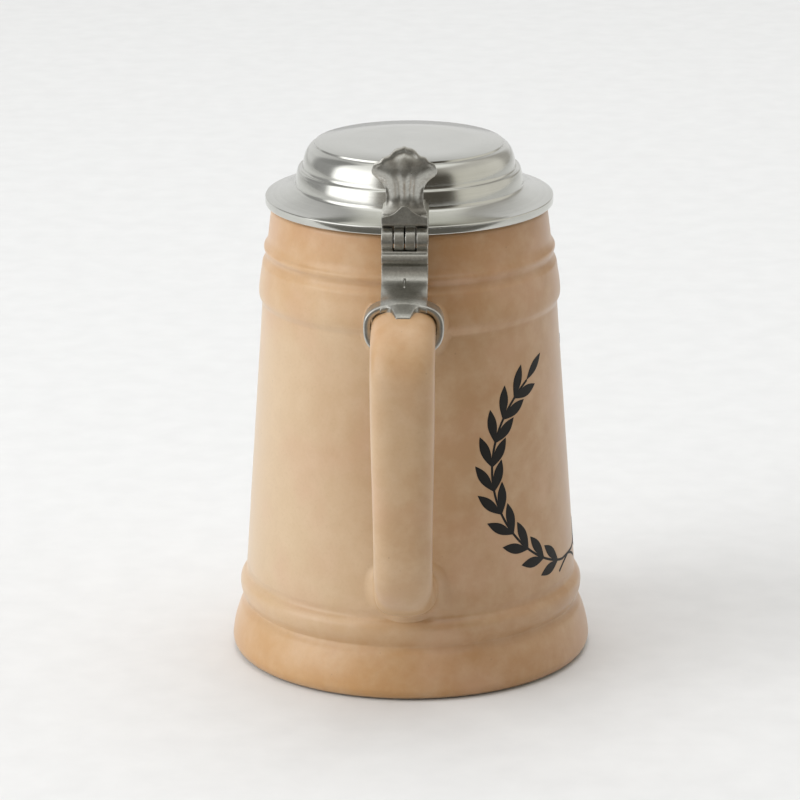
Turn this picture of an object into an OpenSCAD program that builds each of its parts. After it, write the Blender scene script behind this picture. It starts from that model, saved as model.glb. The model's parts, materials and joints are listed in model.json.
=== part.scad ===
// Lidded beer stein: a stoneware mug with a strap handle and a pewter lid on a knuckle hinge.
// Origin at the centre of the foot, +Z up, the handle and hinge towards -Y.

/* [Mug] */
// Height of the drinking rim above the table
mug_h = 137.2; // [134:0.2:142]
// Greatest radius of the flared foot
foot_r = 54; // [53:0.5:55]
// Outer radius of the wall just above the base bead
wall_low_r = 49.5; // [49:0.1:50]
// Outer radius of the wall just below the upper band
wall_high_r = 43.9; // [43.6:0.1:44]
// Radius of the mouth inside the rim
mouth_r = 36.4; // [36.2:0.1:37]
// Inner radius at the bottom of the bowl
bowl_r = 42.6; // [41:0.1:43]
// Height of the bowl's floor above the table
floor_z = 8; // [7:0.5:10]

/* [Handle] */
// Distance of the handle's back face from the mug's axis
handle_reach = 84; // [82:0.5:88]
// Width of the handle where the collar grips it
handle_w = 18.3; // [18:0.1:18.4]
// Width of the handle's straight back at its lower end
handle_low_w = 16.7; // [16:0.1:18]
// Thickness of the handle
handle_t = 10.9; // [10.5:0.1:11]

/* [Lid] */
// Radius of the lid's rim
lid_r = 42.5; // [42:0.1:42.6]
// Radius of the lid's upper dome
dome_r = 31.1; // [30.5:0.1:31.4]
// Radius of the raised flat disc on top
disc_r = 27.8; // [26:0.1:28]
// Height of the lid from the underside of its rim to the top disc
lid_h = 18.1; // [17.8:0.1:19]
// Thickness of the lid's shell
lid_t = 1.9; // [1.6:0.1:2]

/* [Hinge] */
// Distance of the hinge pin from the mug's axis
pin_reach = 47; // [47:0.1:47.4]
// Radius of the hinge pin
pin_r = 1.25; // [1.1:0.05:1.4]
// Radius of the knuckles
knuckle_r = 3.6; // [3.4:0.1:3.6]
// Width of the hinge over all four knuckles
hinge_w = 13.2; // [12.8:0.1:13.4]
// Gap between neighbouring knuckles
knuckle_gap = 0.4; // [0.3:0.05:0.5]

/* [Thumblift] */
// Height of the thumblift above the hinge pin
lift_h = 27.8; // [26:0.2:30]
// Width of the thumblift's fan
lift_w = 19; // [18:0.1:20]

/* [Hidden] */
$fn = 96;

clay = "#C9AD88";
pewter = "#B4B4AE";
steel = "#8C8C88";

lid_gap = 0.4;                        // daylight between the rim and the closed lid
lid_z = mug_h + lid_gap;              // underside of the lid's rim
pin_z = lid_z + 0.1;
run_gap = 0.05;                       // running clearance round the pin
swing_gap = 0.3;                      // clearance round the knuckles
inner_knuckle = (hinge_w - 3 * knuckle_gap) * 0.235;
inner_edge = knuckle_gap / 2 + inner_knuckle;
outer_edge = inner_edge + knuckle_gap;
plug_r = 1.9;
plug_t = 0.8;
plug_proud = 0.1;

collar_z = pin_z - 21.9;              // axis of the handle where the collar grips it
collar_front = 56.6;
collar_back = 64;
collar_rim = 2.2;                     // collar's wall at the sides
collar_top = 1.75;                    // collar's wall above the handle
collar_under = 3;                     // collar's wall below the handle
collar_fit = 0.1;
strap_top = collar_z + 8.6;

back_axis = handle_reach - 5.6;       // distance of the handle's centre line along its back
back_low_z = 52;
section_power = 2.5;                  // squareness of the handle's oval section
section_sides = 28;

// Points of a cubic curve, without its last point
function curve(a, b, c, d, steps) =
    [for (i = [0 : steps - 1]) let (t = i / steps, u = 1 - t)
        u * u * u * a + 3 * u * u * t * b + 3 * u * t * t * c + t * t * t * d];

// Smooth line through every point of a list
function through(p, steps) =
    let (n = len(p) - 1)
    [for (i = [0 : n - 1]) let (
            before = p[max(i - 1, 0)],
            after = p[min(i + 2, n)],
            run = norm(p[i + 1] - p[i]),
            back = max(norm(p[i + 1] - before), 0.001),
            ahead = max(norm(after - p[i]), 0.001))
        each curve(p[i], p[i] + (p[i + 1] - before) * run / back / 3,
                   p[i + 1] - (after - p[i]) * run / ahead / 3, p[i + 1], steps),
     p[n]];

// Points of an arc in the plane, from angle a to angle b
function arc(centre, r, a, b, steps) =
    [for (i = [0 : steps]) let (w = a + (b - a) * i / steps)
        centre + r * [cos(w), sin(w)]];

// Squared-off oval with half-width w, reaching up and down from its widest line
function oval(w, up, down, sides) =
    [for (i = [0 : sides - 1]) let (a = 360 * i / sides, h = a < 180 ? up : down)
        [w * sign(cos(a)) * pow(abs(cos(a)), 2 / section_power),
         h * sign(sin(a)) * pow(abs(sin(a)), 2 / section_power)]];

// Steps smoothly from a to b as t goes from 0 to 1
function ease(a, b, t) = let (u = min(max(t, 0), 1)) a + (b - a) * u * u * (3 - 2 * u);

// Outer outline of the pottery as radius and height, from the foot to the lip
foot_line = through([[foot_r - 3.4, 0], [foot_r - 1.2, 0.8], [foot_r, 4], [foot_r - 0.8, 8.4],
                     [foot_r - 1.9, 11.6], [foot_r - 3, 14.7], [wall_low_r + 1.15, 15.8],
                     [wall_low_r + 1.6, 17.8], [wall_low_r + 1.8, 20.4], [wall_low_r + 1.4, 22.4],
                     [wall_low_r + 0.3, 24.1], [wall_low_r, 26]], 4);
wall_line = curve([wall_low_r, 26], [wall_low_r - 1.6, 50], [wall_high_r + 2, mug_h - 60],
                  [wall_high_r, mug_h - 30.8], 10);
band_line = through([for (p = [[0, -30.8], [0, -29.6], [0.35, -28.4], [0.65, -26.6], [0.6, -24],
                     [0.1, -20], [-0.3, -18], [-0.65, -16.7], [-1.2, -15.2], [-1.15, -14],
                     [-0.95, -12.9], [-1.2, -11.8], [-1.8, -10.2], [-2.25, -7.8], [-2.8, -3.6], [-3, -2]])
                     [wall_high_r + p[0], mug_h + p[1]]], 3);
lip_outer_r = wall_high_r - 3.05;
lip_line = concat(
    curve([lip_outer_r, mug_h - 1.6], [lip_outer_r - 0.1, mug_h - 0.6], [lip_outer_r - 0.7, mug_h],
          [lip_outer_r - 1.7, mug_h], 5),
    curve([mouth_r + 1.6, mug_h], [mouth_r + 0.6, mug_h], [mouth_r, mug_h - 0.8], [mouth_r, mug_h - 2.4], 5));
mug_outline = concat(foot_line, wall_line, band_line, lip_line);

// Outline of the lid's outside, as radius and height above the underside of its rim
step_r = dome_r + 2.5;
lid_outside = concat(
    [[lid_r - 0.3, 0], [lid_r, 0.4], [lid_r, 2.2], [lid_r - 0.3, 2.5]],
    curve([lid_r - 0.7, 2.55], [lid_r - 3.6, 2.9], [step_r + 2.4, 4], [step_r + 0.5, 5.1], 7),
    [[step_r + 0.25, 5.35]],
    curve([step_r + 0.1, 5.9], [step_r, 7.6], [step_r - 0.1, 9.6], [step_r - 0.5, 10.2], 5),
    curve([step_r - 0.9, 10.75], [step_r - 1.4, 10.95], [dome_r + 0.4, 11.1], [dome_r + 0.2, 11.8], 4),
    curve([dome_r + 0.1, 12.4], [dome_r - 0.1, 14.9], [disc_r + 1.8, 16.9], [disc_r + 0.4, lid_h - 0.4], 10),
    [[disc_r + 0.2, lid_h - 0.35], [disc_r, lid_h - 0.05], [disc_r - 0.3, lid_h], [0, lid_h + 0.2]]);
lip_r = mouth_r - 1;
lid_inside = concat(
    [[0, lid_h - lid_t]],
    curve([disc_r - 1, lid_h - lid_t - 0.4], [dome_r - lid_t - 0.3, lid_h - lid_t - 0.7],
          [dome_r - lid_t, 13.5], [dome_r - lid_t, 11.4], 8),
    [[dome_r - lid_t + 0.2, 10], [step_r - lid_t - 0.4, 7.8], [step_r - lid_t - 0.2, 4],
     [lip_r - 1.5, -2.6], [lip_r - 1.2, -3], [lip_r - 0.4, -3], [lip_r, -2.6], [lip_r, 0]]);

// Centre line of the handle as distance from the mug's axis and height, from its upper root to its lower
handle_line = concat(
    curve([41.4, collar_z - 5.2], [47, collar_z - 2.6], [50, collar_z], [54, collar_z], 7),
    [for (d = [54, 60]) [d, collar_z]],
    curve([65, collar_z], [back_axis - 5.4, collar_z - 0.5], [back_axis, collar_z - 4.6],
          [back_axis, collar_z - 13], 12),
    [for (i = [0 : 5]) [back_axis, (collar_z - 13) * (1 - i / 6) + back_low_z * i / 6]],
    curve([back_axis, back_low_z], [back_axis, 42], [68, 35.4], [46.5, 33.6], 14),
    [[46.5, 33.6]]);

// Width and thickness of the handle at a point of its centre line
function handle_width(p) =
    p[1] > collar_z - 13.1
        ? ease(25, handle_w, (p[0] - 43) / 10.5)
        : ease(handle_w, handle_low_w, (collar_z - 13 - p[1]) / 55)
            + ease(3.6, 0, (p[0] - 50) / 11) * (p[1] < back_low_z ? 1 : 0);
function handle_depth(p) =
    p[1] > collar_z - 13.1
        ? ease(16.5, handle_t, (p[0] - 43) / 10.5)
        : handle_t + 0.3 + (p[1] < back_low_z ? ease(4, 0, (p[0] - 50) / 13) : 0);

// One ring of points round the handle's centre line, square to it
function handle_ring(i) =
    let (n = len(handle_line) - 1,
         p = handle_line[i],
         along = handle_line[min(i + 1, n)] - handle_line[max(i - 1, 0)],
         out = [-along[1], along[0]] / norm(along),
         half = handle_depth(p) / 2,
         section = oval(handle_width(p) / 2, half, half, section_sides))
    [for (s = section) [s[0], -(p[0] + out[0] * s[1]), p[1] + out[1] * s[1]]];

// Side view of the strap as distance from the mug's axis and height
strap_roll_z = pin_z - 5.1;
strap_outline = concat(
    [[pin_reach + 2.2, pin_z - 2.2]],
    through([[pin_reach + 2.7, pin_z - 3.3], [pin_reach + 3.6, pin_z - 4], [pin_reach + 3.9, strap_roll_z],
             [pin_reach + 3.6, pin_z - 6.4], [pin_reach + 2.4, pin_z - 7]], 4),
    through([[pin_reach + 2.3, pin_z - 7.4], [pin_reach + 2.7, pin_z - 9], [pin_reach + 4.6, pin_z - 11.2],
             [pin_reach + 8, pin_z - 12.6], [collar_front + 2, strap_top + 0.2],
             [collar_back, strap_top]], 4),
    [[collar_back, strap_top], [collar_back + 1, strap_top - 0.6], [collar_back + 5.6, strap_top - 2.8],
     [collar_back + 6, strap_top - 3.2], [collar_back + 6, strap_top - 3.6]],
    [[collar_back, strap_top - 3.05], [collar_front, strap_top - 3.05]],
    through([[collar_front, collar_z + 5.6], [pin_reach + 5.6, collar_z + 6.9],
             [pin_reach + 1, pin_z - 11.4], [pin_reach - 1.4, pin_z - 8], [pin_reach - 2.2, pin_z - 4]], 4),
    [[pin_reach - 2.6, pin_z - 2]]);

// Side view of the lid's shank
shank_top = pin_z + 8.4;
shank_outline = concat(
    [[pin_reach + 2.9, pin_z + 5.1], [pin_reach + 3, pin_z + 6.6], [pin_reach + 2.6, shank_top],
     [pin_reach - 1.6, shank_top]],
    curve([pin_reach - 2.4, shank_top - 0.4], [pin_reach - 5, pin_z + 7.4], [40, pin_z + 7.2],
          [step_r + 1, pin_z + 8.2], 6),
    [[step_r - 2, pin_z + 8.4], [step_r - 2, pin_z + 4], [lid_r - 1, pin_z + 0.4],
     [pin_reach - 1.6, pin_z + 0.4], [pin_reach + 0.4, pin_z + 2.2], [pin_reach + 0.6, pin_z + 4.6],
     [pin_reach + 1.4, pin_z + 5.1]]);

// Side view of the thumblift, leaning out over the hinge and curling back at its tip
lift_side = concat(
    through([[pin_reach + 2.6, shank_top], [pin_reach + 2.3, pin_z + 12], [pin_reach + 4.2, pin_z + 17],
             [pin_reach + 5.8, pin_z + 21], [pin_reach + 5.2, pin_z + lift_h - 2],
             [pin_reach + 4, pin_z + lift_h]], 4),
    through([[pin_reach + 3, pin_z + lift_h - 0.6], [pin_reach + 3, pin_z + lift_h - 5],
             [pin_reach + 1.4, pin_z + 17], [pin_reach - 0.4, pin_z + 12], [pin_reach - 1.6, shank_top]], 4));

module side_plate(outline, w) {
    rotate([90, 0, -90])
        translate([0, 0, -w / 2])
            linear_extrude(w)
                polygon(outline);
}

module along_pin(from, to, r) {
    translate([from, -pin_reach, pin_z])
        rotate([0, 90, 0])
            cylinder(r = r, h = to - from);
}

module both_sides(from, to, r) {
    along_pin(from, to, r);
    along_pin(-to, -from, r);
}

module mug_solid() {
    rotate_extrude()
        polygon(concat([[0, 0]], mug_outline, [[0, mug_h - 2.4]]));
}

module stoneware_body() {
    foot_ring_w = 4.2;
    color(clay)
        rotate_extrude()
            polygon(concat(
                mug_outline,
                [[mouth_r, mug_h - 2.4]],
                arc([bowl_r - 7, floor_z + 7], 7, 0, -90, 6),
                [[0, floor_z], [0, 2.6], [foot_r - 5.2 - foot_ring_w, 2.6],
                 [foot_r - 3.4 - foot_ring_w, 0]]));
}

module handle() {
    rings = len(handle_line);
    sides = section_sides;
    color(clay)
        difference() {
            polyhedron(
                points = [for (i = [0 : rings - 1]) each handle_ring(i)],
                faces = concat(
                    [[for (k = [0 : sides - 1]) k]],
                    [for (i = [0 : rings - 2], k = [0 : sides - 1]) let (m = (k + 1) % sides)
                        each [[i * sides + k, (i + 1) * sides + k, (i + 1) * sides + m],
                              [i * sides + k, (i + 1) * sides + m, i * sides + m]]],
                    [[for (k = [sides - 1 : -1 : 0]) (rings - 1) * sides + k]]));
            mug_solid();
        }
}

module collar_block(side, top, bottom, from, to) {
    translate([0, -from, collar_z])
        rotate([90, 0, 0])
            linear_extrude(to - from)
                polygon(oval(handle_w / 2 + side, handle_t / 2 + top, handle_t / 2 + bottom, 48));
}

module collar_outside() {
    collar_block(collar_rim, collar_top, collar_under, collar_front, collar_back);
}

module handle_collar() {
    color(pewter)
        difference() {
            collar_outside();
            collar_block(collar_fit, collar_fit, collar_fit, collar_front - 1, collar_back + 1);
        }
}

// Plan of the strap: full width to the collar's back face, then the tapering tang
module strap_plan() {
    tang_root = 3.15;
    tang_tip = 1.75;
    translate([0, 0, collar_z])
        linear_extrude(lift_h * 2)
            polygon([[-hinge_w / 2, 0], [hinge_w / 2, 0], [hinge_w / 2, -collar_back],
                     [tang_root, -collar_back], [tang_tip, -collar_back - 6],
                     [-tang_tip, -collar_back - 6], [-tang_root, -collar_back],
                     [-hinge_w / 2, -collar_back]]);
}

module hinge_strap() {
    color(pewter)
        difference() {
            union() {
                intersection() {
                    side_plate(strap_outline, hinge_w);
                    strap_plan();
                }
                both_sides(outer_edge, hinge_w / 2, knuckle_r);
            }
            collar_outside();
            along_pin(-outer_edge, outer_edge, knuckle_r + swing_gap);
            along_pin(-hinge_w, hinge_w, pin_r);
            both_sides(hinge_w / 2 - plug_t + plug_proud, hinge_w, plug_r);
        }
}

module hinge_pin() {
    pin_half = hinge_w / 2 - plug_t + plug_proud;
    color(steel)
        along_pin(-pin_half, pin_half, pin_r);
}

module pin_plug(side) {
    face = hinge_w / 2 + plug_proud;
    color(pewter)
        along_pin(side > 0 ? face - plug_t : -face, side > 0 ? face : plug_t - face, plug_r);
}

module lid_solid() {
    translate([0, 0, lid_z])
        rotate_extrude()
            polygon(concat(lid_outside, [[0, 0]]));
}

module lid_cover() {
    color(pewter)
        translate([0, 0, lid_z])
            rotate_extrude()
                polygon(concat(lid_outside, lid_inside));
}

module lid_shank() {
    color(pewter)
        difference() {
            union() {
                side_plate(shank_outline, hinge_w);
                both_sides(knuckle_gap / 2, inner_edge, knuckle_r);
            }
            both_sides(inner_edge, hinge_w, knuckle_r + swing_gap);
            along_pin(-knuckle_gap / 2, knuckle_gap / 2, knuckle_r + swing_gap);
            along_pin(-hinge_w, hinge_w, pin_r + run_gap);
            lid_solid();
        }
}

// Front view of the thumblift: a waisted stem that opens into a scalloped shell
module lift_face() {
    waist_w = 5.3;
    waist_z = pin_z + 12;
    foot_w = hinge_w / 2 - 0.2;
    lobe_r = 2.1;
    lobes_z = pin_z + 19.8;
    side_line = curve([waist_w, waist_z], [waist_w + 0.3, waist_z + 3.4], [lift_w / 2 - 2.2, lobes_z - 3.4],
                      [lift_w / 2 - 0.9, lobes_z - 1.2], 6);
    right = concat([[foot_w, shank_top], [waist_w + 0.5, pin_z + 10]], side_line,
                   [[lift_w / 2 - lobe_r, lobes_z], [4.6, lobes_z + 4]]);
    linear_extrude(3 * pin_reach, center = true)
        union() {
            polygon(concat(right, [for (i = [len(right) - 1 : -1 : 0]) [-right[i][0], right[i][1]]]));
            for (a = [-86, -57, -28.5, 0, 28.5, 57, 86])
                translate([(lift_w / 2 - lobe_r) * sin(a), lobes_z + (lift_h - 19.8 - lobe_r) * cos(a)])
                    circle(lobe_r);
        }
}

module thumblift() {
    color(pewter)
        difference() {
            intersection() {
                side_plate(lift_side, 3 * lift_w);
                rotate([90, 0, 0])
                    lift_face();
            }
            for (a = [-56, -34, -12, 12, 34, 56])
                translate([0, -pin_reach - 7.6, pin_z + 12])
                    rotate([7, a * 0.8, 0])
                        cylinder(r1 = 0.8, r2 = 2.1, h = lift_h);
        }
}

stoneware_body();
handle();
handle_collar();
hinge_strap();
hinge_pin();
pin_plug(-1);  // pin_plug_left
pin_plug(1);  // pin_plug_right
lid_cover();
lid_shank();
thumblift();
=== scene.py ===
"""Looks of a lidded stoneware beer stein: a turned mug with a pulled handle, a pewter lid on a
knuckle hinge, its clamping collar and scallop thumblift, and a laurel wreath printed on the wall."""

import json
from math import atan, cos, exp, pi, radians, sin, sqrt

import bmesh
import bpy
from mathutils import Matrix, Vector


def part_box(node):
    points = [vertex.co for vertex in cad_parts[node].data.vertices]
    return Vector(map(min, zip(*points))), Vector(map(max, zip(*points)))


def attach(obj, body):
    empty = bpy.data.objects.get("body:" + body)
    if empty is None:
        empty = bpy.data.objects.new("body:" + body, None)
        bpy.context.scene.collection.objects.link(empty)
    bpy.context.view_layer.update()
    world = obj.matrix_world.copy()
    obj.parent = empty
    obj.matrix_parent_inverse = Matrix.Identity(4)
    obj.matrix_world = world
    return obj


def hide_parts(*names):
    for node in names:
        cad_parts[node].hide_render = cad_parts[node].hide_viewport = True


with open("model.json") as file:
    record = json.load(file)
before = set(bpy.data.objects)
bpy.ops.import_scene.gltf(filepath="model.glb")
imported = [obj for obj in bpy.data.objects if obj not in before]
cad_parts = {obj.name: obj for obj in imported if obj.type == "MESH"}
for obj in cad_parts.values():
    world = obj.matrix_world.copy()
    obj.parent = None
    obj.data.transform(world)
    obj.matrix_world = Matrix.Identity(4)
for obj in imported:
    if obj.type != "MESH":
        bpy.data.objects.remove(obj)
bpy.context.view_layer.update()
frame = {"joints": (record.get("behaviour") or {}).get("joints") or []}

MM = 0.001
Y, Z = Vector((0, 1, 0)), Vector((0, 0, 1))

# ---------------------------------------------------------------- sizes, in millimetres
# d is the distance from the mug's axis towards the handle, which is -Y.

body_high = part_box("stoneware_body")[1]
mug_h = body_high.z / MM
foot_r = body_high.x / MM
wall_low_r = foot_r - 4.5             # above the base bead
wall_high_r = foot_r - 10.1           # below the upper band
mouth_r = foot_r - 17.6
bowl_r = foot_r - 11.4
floor_z = 8

hinge = frame["joints"][0]
pin_d = -hinge["pos_m"][1] / MM
pin_z = hinge["pos_m"][2] / MM
pin_r = 1.25
knuckle_r = 3.6
knuckle_gap = 0.4                     # between the two inner knuckles
swing_gap = 0.3                       # round a knuckle, so that it can turn
seat_depth = 0.7                      # of a plug in its outer knuckle
strap_low, strap_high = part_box("hinge_strap")
hinge_w = 2 * strap_high.x / MM
inner_edge = 3.02                     # outer face of an inner knuckle
outer_edge = inner_edge + 0.4         # inner face of an outer knuckle
plug_low, plug_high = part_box("pin_plug_right")
plug_r = (plug_high.z - plug_low.z) / 2 / MM

lid_low, lid_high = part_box("lid_cover")
lid_r = lid_high.x / MM
lid_lip = 3
lid_z = lid_low.z / MM + lid_lip      # underside of the rim
lid_h = lid_high.z / MM - lid_z - 0.2
lid_t = 1.9
dome_r = lid_r - 11.4
step_r = dome_r + 2.5
disc_r = dome_r - 3.3

collar_low, collar_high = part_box("handle_collar")
collar_front = -collar_high.y / MM
collar_back = -collar_low.y / MM
collar_w = collar_high.x / MM         # outer half-width
collar_z = pin_z - 21.9               # axis of the handle inside the collar
strap_top = collar_z + 8.6
tang_d = -strap_low.y / MM

handle_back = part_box("handle")[0]
back_axis = -handle_back.y / MM - 5.6 # centre line of the straight back
back_low_z = 52                       # lower end of the straight back
root_high_d = 46.5                    # where the centre line starts at the upper root
root_low_d = 54.5                     # and where it ends at the lower one

wreath_angle = 75                     # round from the handle towards +X, degrees
wreath_z = 64
wreath_half_w = 35
wreath_half_h = 32
leaf_pairs = 10                       # on each spray

lathe_steps = 224                     # facets round a turned piece
casting_voxel = 0.14                  # grain of the cast shank and strap


# ---------------------------------------------------------------- lines

def cubic(a, b, c, d, steps):
    """Points of a cubic curve, without its last point."""
    a, b, c, d = (Vector(p) for p in (a, b, c, d))
    out = []
    for i in range(steps):
        t = i / steps
        u = 1 - t
        out.append(u ** 3 * a + 3 * u * u * t * b + 3 * u * t * t * c + t ** 3 * d)
    return out


def smooth_line(points, steps):
    """Smooth line through every point."""
    points = [Vector(p) for p in points]
    out = []
    for i in range(len(points) - 1):
        a, b = points[i], points[i + 1]
        before = points[max(i - 1, 0)]
        after = points[min(i + 2, len(points) - 1)]
        run = (b - a).length
        back = max((b - before).length, 0.001)
        ahead = max((after - a).length, 0.001)
        out += cubic(a, a + (b - before) * run / back / 3, b - (after - a) * run / ahead / 3, b, steps)
    return out + [points[-1]]


def arc(centre, r, start, end, steps):
    """Points of an arc; angles in degrees."""
    angles = [radians(start + (end - start) * i / steps) for i in range(steps + 1)]
    return [Vector(centre) + r * Vector((cos(a), sin(a))) for a in angles]


def ease(a, b, t):
    """Goes smoothly from a to b as t goes from 0 to 1."""
    t = min(max(t, 0), 1)
    return a + (b - a) * t * t * (3 - 2 * t)


def between(table, x):
    """Value at x in a list of rising (x, value) points."""
    for (x0, y0), (x1, y1) in zip(table, table[1:]):
        if x <= x1:
            return y0 + (y1 - y0) * min(max((x - x0) / (x1 - x0), 0), 1)
    return table[-1][1]


def mug_outside():
    """Outer outline of the pottery as radius and height, from the foot to the lip."""
    foot = smooth_line([(foot_r - 3.4, 0), (foot_r - 1.2, 0.7), (foot_r - 0.1, 2.6), (foot_r - 0.1, 4.6),
                        (foot_r - 0.75, 8.2), (foot_r - 1.7, 11.4), (foot_r - 2.5, 13.4),
                        (foot_r - 3.45, 14.7), (wall_low_r + 0.65, 15.6), (wall_low_r + 1, 16.5),
                        (wall_low_r + 1.7, 18.2), (wall_low_r + 2, 20.2), (wall_low_r + 1.8, 21.9),
                        (wall_low_r + 1, 23.1), (wall_low_r + 0.02, 23.9), (wall_low_r - 0.22, 24.8),
                        (wall_low_r, 26.4)], 5)
    wall = cubic((wall_low_r, 26.4), (wall_low_r - 1.6, 50), (wall_high_r + 2, mug_h - 60),
                 (wall_high_r, mug_h - 30.8), 24)
    bands = [(0, -30.8), (-0.08, -29.5), (0.28, -28.5), (0.74, -27.3), (0.84, -25.6), (0.56, -22.8),
             (0.14, -20.2), (-0.12, -18.4), (-0.35, -17.2), (-1, -16.1), (-1.4, -15.1), (-1.28, -14.2),
             (-0.84, -13.2), (-0.88, -12.3), (-1.5, -11.4), (-2, -10), (-2.28, -7.8), (-2.8, -3.6),
             (-3, -2)]
    band = smooth_line([(wall_high_r + r, mug_h + z) for r, z in bands], 5)
    return foot[:-1] + wall + band


WALL = [(p[1], p[0]) for p in mug_outside()]


def wall_radius(z):
    return between(WALL, z)


def on_wall(point, lift):
    """The wall's point straight in from a point in metres, lifted off it by so many millimetres."""
    flat = Vector((point.x, point.y, 0)).normalized()
    out = flat * (wall_radius(point.z / MM) + lift) * MM
    out.z = point.z
    return out


# ---------------------------------------------------------------- modelling

def deselect():
    if bpy.context.object and bpy.context.object.mode != "OBJECT":
        bpy.ops.object.mode_set(mode="OBJECT")
    bpy.ops.object.select_all(action="DESELECT")


def edit(piece):
    """Opens a piece in edit mode with nothing selected."""
    deselect()
    bpy.context.view_layer.objects.active = piece
    piece.select_set(True)
    bpy.ops.object.mode_set(mode="EDIT")
    bpy.ops.mesh.select_all(action="DESELECT")


def done(piece, name=None):
    bpy.ops.object.mode_set(mode="OBJECT")
    if name:
        piece.name = name
        piece.data.name = name
    return piece


def extrude(move):
    bpy.ops.mesh.extrude_region_move(TRANSFORM_OT_translate={"value": Vector(move)})


def draw_line(name, points):
    """A piece that is one line of edges through points in metres, left in edit mode, selected."""
    deselect()
    bpy.ops.mesh.primitive_plane_add(size=MM)
    piece = bpy.context.object
    piece.name = name
    piece.data.name = name
    bpy.ops.object.mode_set(mode="EDIT")
    bpy.ops.mesh.select_all(action="SELECT")
    bpy.ops.mesh.merge(type="CENTER")
    bpy.ops.transform.translate(value=points[0])
    for a, b in zip(points, points[1:]):
        extrude(b - a)
    bpy.ops.mesh.select_all(action="SELECT")
    return piece


def tidy_shell():
    """In edit mode: merges doubles and turns every face outwards."""
    bpy.ops.mesh.select_all(action="SELECT")
    bpy.ops.mesh.remove_doubles(threshold=0.002 * MM)
    bpy.ops.mesh.normals_make_consistent(inside=False)


def turned(name, outline, steps):
    """A shape turned on the mug's axis from its outline as radius and height."""
    piece = draw_line(name, [Vector((r, 0, z)) * MM for r, z in outline])
    bpy.ops.mesh.spin(steps=steps, angle=2 * pi, center=(0, 0, 0), axis=(0, 0, 1))
    tidy_shell()
    return done(piece)


def plate(name, outline, low, high, across=False):
    """A plate with an outline seen from the side (d, z), or with across from the front (x, z)."""
    if across:
        points = [Vector((x, -low, z)) * MM for x, z in outline]
        depth = Vector((0, low - high, 0)) * MM
    else:
        points = [Vector((low, -d, z)) * MM for d, z in outline]
        depth = Vector((high - low, 0, 0)) * MM
    piece = draw_line(name, points)
    bpy.ops.mesh.edge_face_add()
    extrude(depth)
    tidy_shell()
    return done(piece)


def rod(name, r, start, end, sides=64):
    """A rod along the hinge pin's axis, between two places across the hinge."""
    deselect()
    middle = Vector(((start + end) / 2, -pin_d, pin_z)) * MM
    bpy.ops.mesh.primitive_cylinder_add(vertices=sides, radius=r * MM, depth=(end - start) * MM,
                                        location=middle, rotation=(0, pi / 2, 0))
    piece = bpy.context.object
    piece.name = name
    piece.data.name = name
    bpy.ops.object.transform_apply(location=True, rotation=True, scale=True)
    return piece


def modify(piece, kind, **settings):
    """Adds a modifier and applies it."""
    deselect()
    bpy.context.view_layer.objects.active = piece
    piece.select_set(True)
    made = piece.modifiers.new(kind.title(), kind)
    for key, value in settings.items():
        setattr(made, key, value)
    bpy.ops.object.modifier_apply(modifier=made.name)
    return piece


def cut(piece, *cutters):
    for cutter in cutters:
        modify(piece, "BOOLEAN", operation="DIFFERENCE", solver="EXACT", object=cutter)
        bpy.data.objects.remove(cutter)
    return piece


def join(name, *pieces):
    deselect()
    for piece in pieces:
        piece.select_set(True)
    bpy.context.view_layer.objects.active = pieces[0]
    bpy.ops.object.join()
    pieces[0].name = name
    pieces[0].data.name = name
    return pieces[0]


def cast(piece, voxel, rounds):
    """Fuses a piece's blocks into one skin and softens its edges, as a casting comes out of its mould."""
    modify(piece, "REMESH", mode="VOXEL", voxel_size=voxel * MM, adaptivity=0)
    modify(piece, "SMOOTH", factor=0.5, iterations=rounds)
    return piece


def smooth_shade(piece, angle):
    deselect()
    bpy.context.view_layer.objects.active = piece
    piece.select_set(True)
    bpy.ops.object.shade_smooth_by_angle(angle=radians(angle))
    return piece


def round_edges(piece, width, segments, angle=30):
    return modify(piece, "BEVEL", width=width * MM, segments=segments, limit_method="ANGLE",
                  angle_limit=radians(angle), use_clamp_overlap=True)


def finish(piece, material, body, nodes, angle=35):
    """Gives a finished piece its material, its body and the CAD nodes that it stands for."""
    smooth_shade(piece, angle)
    piece.data.materials.clear()
    piece.data.materials.append(material)
    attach(piece, body)
    if nodes:
        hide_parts(*nodes)
    return piece


# ---------------------------------------------------------------- materials

def linear(text):
    """A hex sRGB colour as linear RGBA."""
    parts = [int(text[i:i + 2], 16) / 255 for i in (1, 3, 5)]
    return tuple(c / 12.92 if c <= 0.04045 else ((c + 0.055) / 1.055) ** 2.4 for c in parts) + (1,)


def add(tree, kind, inputs=None, stops=(), **settings):
    """Adds a node with its settings and its ramp's stops. inputs maps a socket to a value, to another
    node's output, or to a node whose first live output is meant."""
    made = tree.nodes.new(kind)
    for key, value in settings.items():
        setattr(made, key, value)
    for _ in stops[2:]:
        made.color_ramp.elements.new(0.5)
    for i, (place, colour) in enumerate(stops):
        made.color_ramp.elements[i].position = place
        made.color_ramp.elements[i].color = linear(colour)
    for key, value in (inputs or {}).items():
        if isinstance(value, bpy.types.Node):
            value = next(out for out in value.outputs if out.enabled)
        if isinstance(value, bpy.types.NodeSocket):
            tree.links.new(value, made.inputs[key])
        else:
            made.inputs[key].default_value = value
    return made


def new_material(name):
    material = bpy.data.materials.new(name)
    material.use_nodes = True
    material.node_tree.nodes.clear()
    return material, material.node_tree


def per_metre(size_mm):
    """Texture scale at which one cell of the pattern has this size."""
    return 1 / (size_mm * MM)


def surface(material, tree, shader):
    add(tree, "ShaderNodeOutputMaterial", {"Surface": shader})
    return material


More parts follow.
